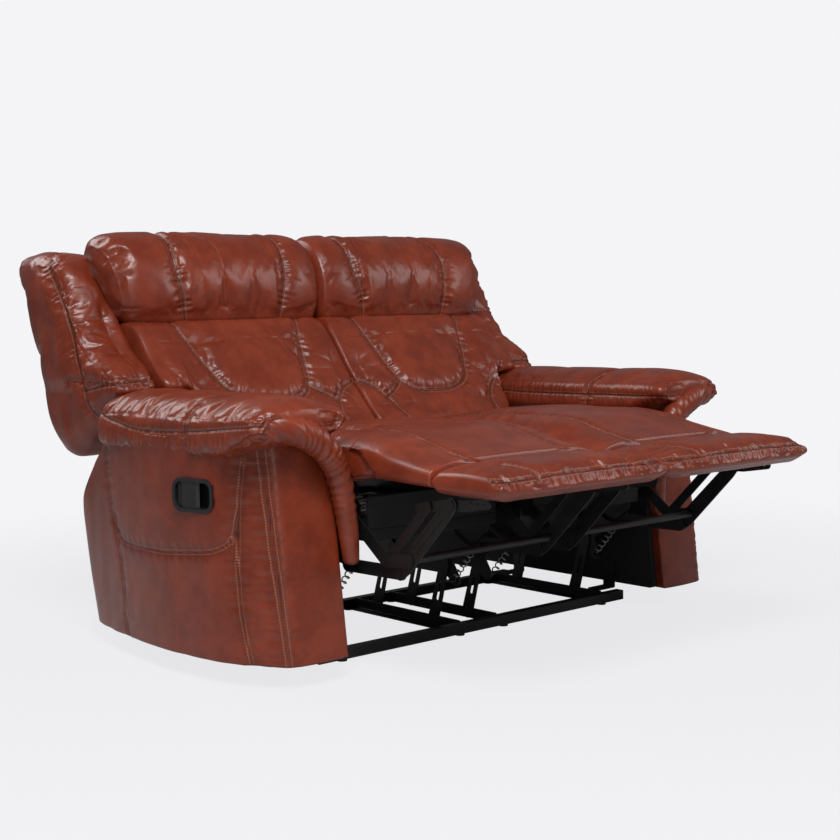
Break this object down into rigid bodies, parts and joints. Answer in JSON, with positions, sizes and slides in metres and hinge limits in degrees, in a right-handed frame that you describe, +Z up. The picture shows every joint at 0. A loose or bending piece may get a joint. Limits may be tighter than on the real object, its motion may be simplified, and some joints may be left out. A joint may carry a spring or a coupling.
{
  "type": "reclining loveseat",
  "caption": "Reclining loveseat with rolled arms, overstuffed backs, folding footrests on scissor linkages and pull levers in the arms.",
  "frame": {"origin": "on the floor under the middle of the bounding box at rest, footrests out", "axes": "+X across to the right arm as seen from the front camera, front and footrests towards -Y, +Z up"},
  "size_m": [1.588, 1.6321, 1.025],
  "materials": {
    "black_steel": "satin black paint",
    "spring_steel": "bare wire",
    "leather": "semi-gloss cognac",
    "timber": "planed",
    "black_board": "covered in black lining",
    "black_plastic": "fine texture"
  },
  "bodies": {
    "base": {"cross_rails": "black_steel", "glides": "black_plastic", "left_side_rails": "black_steel", "left_arm_brackets": "black_steel", "left_arm_body": "leather", "left_arm_frame": "black_board", "left_arm_pad": "leather", "left_handle_cup": "black_plastic", "right_side_rails": "black_steel", "right_arm_brackets": "black_steel", "right_arm_body": "leather", "right_arm_frame": "black_board", "right_arm_pad": "leather", "right_handle_cup": "black_plastic"},
    "left_front_swing": {"left_front_swing_links": "black_steel"},
    "left_rear_swing": {"left_rear_swing_links": "black_steel"},
    "left_carriage": {"left_side_plates": "black_steel", "left_seat_box": "timber", "left_deck_springs": "spring_steel", "left_seat_cushion": "leather", "left_return_springs": "spring_steel"},
    "left_back": {"left_back_frame": "timber", "left_back_plates": "black_steel", "left_lumbar_cushion": "leather", "left_headrest": "leather", "left_wing_bolster": "leather", "left_back_cover": "leather"},
    "left_drive": {"left_drive_links": "black_steel"},
    "left_rear_link": {"left_footrest_rear_links": "black_steel"},
    "left_front_link": {"left_footrest_front_links": "black_steel"},
    "left_shin": {"left_footrest_shin_links": "black_steel"},
    "left_twin": {"left_footrest_twin_links": "black_steel"},
    "left_ottoman": {"left_ottoman_brackets": "black_steel", "left_ottoman_board": "black_board", "left_ottoman_pad": "leather"},
    "left_chaise": {"left_chaise_pad": "leather"},
    "left_lever": {"left_release_lever": "black_plastic"},
    "right_front_swing": {"right_front_swing_links": "black_steel"},
    "right_rear_swing": {"right_rear_swing_links": "black_steel"},
    "right_carriage": {"right_side_plates": "black_steel", "right_seat_box": "timber", "right_deck_springs": "spring_steel", "right_seat_cushion": "leather", "right_return_springs": "spring_steel"},
    "right_back": {"right_back_frame": "timber", "right_back_plates": "black_steel", "right_lumbar_cushion": "leather", "right_headrest": "leather", "right_wing_bolster": "leather", "right_back_cover": "leather"},
    "right_drive": {"right_drive_links": "black_steel"},
    "right_rear_link": {"right_footrest_rear_links": "black_steel"},
    "right_front_link": {"right_footrest_front_links": "black_steel"},
    "right_shin": {"right_footrest_shin_links": "black_steel"},
    "right_twin": {"right_footrest_twin_links": "black_steel"},
    "right_ottoman": {"right_ottoman_brackets": "black_steel", "right_ottoman_board": "black_board", "right_ottoman_pad": "leather"},
    "right_chaise": {"right_chaise_pad": "leather"},
    "right_lever": {"right_release_lever": "black_plastic"}
  },
  "joints": [
    {"name": "left_front_swing_joint", "type": "hinge", "parent": "base", "child": "left_front_swing", "pos_m": [-0.26, -0.088, 0.025], "axis": [1, 0, 0], "range_deg": [-15.2, 8.2]},
    {"name": "left_carriage_joint", "type": "hinge", "parent": "left_front_swing", "child": "left_carriage", "pos_m": [-0.26, -0.13186, 0.16845], "axis": [1, 0, 0], "range_deg": [-8.2, 15.2]},
    {"name": "left_recline", "type": "hinge", "parent": "left_carriage", "child": "left_back", "pos_m": [-0.26, 0.248, 0.386], "axis": [1, 0, 0], "range_deg": [-8, 15]},
    {"name": "left_rear_swing_joint", "type": "hinge", "parent": "base", "child": "left_rear_swing", "pos_m": [-0.26, 0.137, 0.025], "axis": [1, 0, 0], "range_deg": [-15.2, 8.2]},
    {"name": "left_drive_joint", "type": "hinge", "parent": "left_back", "child": "left_drive", "pos_m": [-0.26, 0.2652, 0.3576], "axis": [1, 0, 0], "range_deg": [-16, 9]},
    {"name": "left_footrest", "type": "hinge", "parent": "left_carriage", "child": "left_rear_link", "pos_m": [-0.26, -0.245, 0.327], "axis": [1, 0, 0], "range_deg": [0, 90], "deforming": ["left_return_springs", "left_chaise_pad"]},
    {"name": "left_shin_joint", "type": "hinge", "parent": "left_rear_link", "child": "left_shin", "pos_m": [-0.26, -0.452, 0.238], "axis": [1, 0, 0], "range_deg": [-90.2, 0.2]},
    {"name": "left_ottoman_joint", "type": "hinge", "parent": "left_shin", "child": "left_ottoman", "pos_m": [-0.26, -0.621, 0.403], "axis": [1, 0, 0], "range_deg": [-0.2, 90.2]},
    {"name": "left_front_link_joint", "type": "hinge", "parent": "left_carriage", "child": "left_front_link", "pos_m": [-0.26, -0.2788, 0.36], "axis": [1, 0, 0], "range_deg": [-0.2, 90.2]},
    {"name": "left_twin_joint", "type": "hinge", "parent": "left_ottoman", "child": "left_twin", "pos_m": [-0.26, -0.546, 0.393], "axis": [1, 0, 0], "range_deg": [-90.2, 0.2]},
    {"name": "left_chaise_joint", "type": "hinge", "parent": "left_carriage", "child": "left_chaise", "pos_m": [-0.26, -0.33, 0.44], "axis": [1, 0, 0], "range_deg": [-0.2, 90.2]},
    {"name": "left_release", "type": "hinge", "parent": "base", "child": "left_lever", "pos_m": [-0.78025, -0.06665, 0.41], "axis": [0, 0, -1], "range_deg": [0, 20], "stiffness_Nm_per_rad": 0.05, "springref_deg": -5.73},
    {"name": "right_front_swing_joint", "type": "hinge", "parent": "base", "child": "right_front_swing", "pos_m": [0.26, -0.088, 0.025], "axis": [1, 0, 0], "range_deg": [-15.2, 8.2]},
    {"name": "right_carriage_joint", "type": "hinge", "parent": "right_front_swing", "child": "right_carriage", "pos_m": [0.26, -0.13186, 0.16845], "axis": [1, 0, 0], "range_deg": [-8.2, 15.2]},
    {"name": "right_recline", "type": "hinge", "parent": "right_carriage", "child": "right_back", "pos_m": [0.26, 0.248, 0.386], "axis": [1, 0, 0], "range_deg": [-8, 15]},
    {"name": "right_rear_swing_joint", "type": "hinge", "parent": "base", "child": "right_rear_swing", "pos_m": [0.26, 0.137, 0.025], "axis": [1, 0, 0], "range_deg": [-15.2, 8.2]},
    {"name": "right_drive_joint", "type": "hinge", "parent": "right_back", "child": "right_drive", "pos_m": [0.26, 0.2652, 0.3576], "axis": [1, 0, 0], "range_deg": [-16, 9]},
    {"name": "right_footrest", "type": "hinge", "parent": "right_carriage", "child": "right_rear_link", "pos_m": [0.26, -0.245, 0.327], "axis": [1, 0, 0], "range_deg": [0, 90], "deforming": ["right_return_springs", "right_chaise_pad"]},
    {"name": "right_shin_joint", "type": "hinge", "parent": "right_rear_link", "child": "right_shin", "pos_m": [0.26, -0.452, 0.238], "axis": [1, 0, 0], "range_deg": [-90.2, 0.2]},
    {"name": "right_ottoman_joint", "type": "hinge", "parent": "right_shin", "child": "right_ottoman", "pos_m": [0.26, -0.621, 0.403], "axis": [1, 0, 0], "range_deg": [-0.2, 90.2]},
    {"name": "right_front_link_joint", "type": "hinge", "parent": "right_carriage", "child": "right_front_link", "pos_m": [0.26, -0.2788, 0.36], "axis": [1, 0, 0], "range_deg": [-0.2, 90.2]},
    {"name": "right_twin_joint", "type": "hinge", "parent": "right_ottoman", "child": "right_twin", "pos_m": [0.26, -0.546, 0.393], "axis": [1, 0, 0], "range_deg": [-90.2, 0.2]},
    {"name": "right_chaise_joint", "type": "hinge", "parent": "right_carriage", "child": "right_chaise", "pos_m": [0.26, -0.33, 0.44], "axis": [1, 0, 0], "range_deg": [-0.2, 90.2]},
    {"name": "right_release", "type": "hinge", "parent": "base", "child": "right_lever", "pos_m": [0.78025, -0.06665, 0.41], "axis": [0, 0, 1], "range_deg": [0, 20], "stiffness_Nm_per_rad": 0.05, "springref_deg": -5.73}
  ],
  "couplings": [
    {"joint": "left_front_swing_joint", "follows": "left_recline", "ratio": -1},
    {"joint": "left_carriage_joint", "follows": "left_recline", "ratio": 1},
    {"joint": "left_rear_swing_joint", "follows": "left_recline", "ratio": -1},
    {"joint": "left_drive_joint", "follows": "left_recline", "ratio": -1.0177},
    {"joint": "left_shin_joint", "follows": "left_footrest", "ratio": -1},
    {"joint": "left_ottoman_joint", "follows": "left_footrest", "ratio": 1},
    {"joint": "left_front_link_joint", "follows": "left_footrest", "ratio": 1},
    {"joint": "left_twin_joint", "follows": "left_footrest", "ratio": -1},
    {"joint": "left_chaise_joint", "follows": "left_footrest", "ratio": 1},
    {"joint": "right_front_swing_joint", "follows": "right_recline", "ratio": -1},
    {"joint": "right_carriage_joint", "follows": "right_recline", "ratio": 1},
    {"joint": "right_rear_swing_joint", "follows": "right_recline", "ratio": -1},
    {"joint": "right_drive_joint", "follows": "right_recline", "ratio": -1.0177},
    {"joint": "right_shin_joint", "follows": "right_footrest", "ratio": -1},
    {"joint": "right_ottoman_joint", "follows": "right_footrest", "ratio": 1},
    {"joint": "right_front_link_joint", "follows": "right_footrest", "ratio": 1},
    {"joint": "right_twin_joint", "follows": "right_footrest", "ratio": -1},
    {"joint": "right_chaise_joint", "follows": "right_footrest", "ratio": 1}
  ]
}
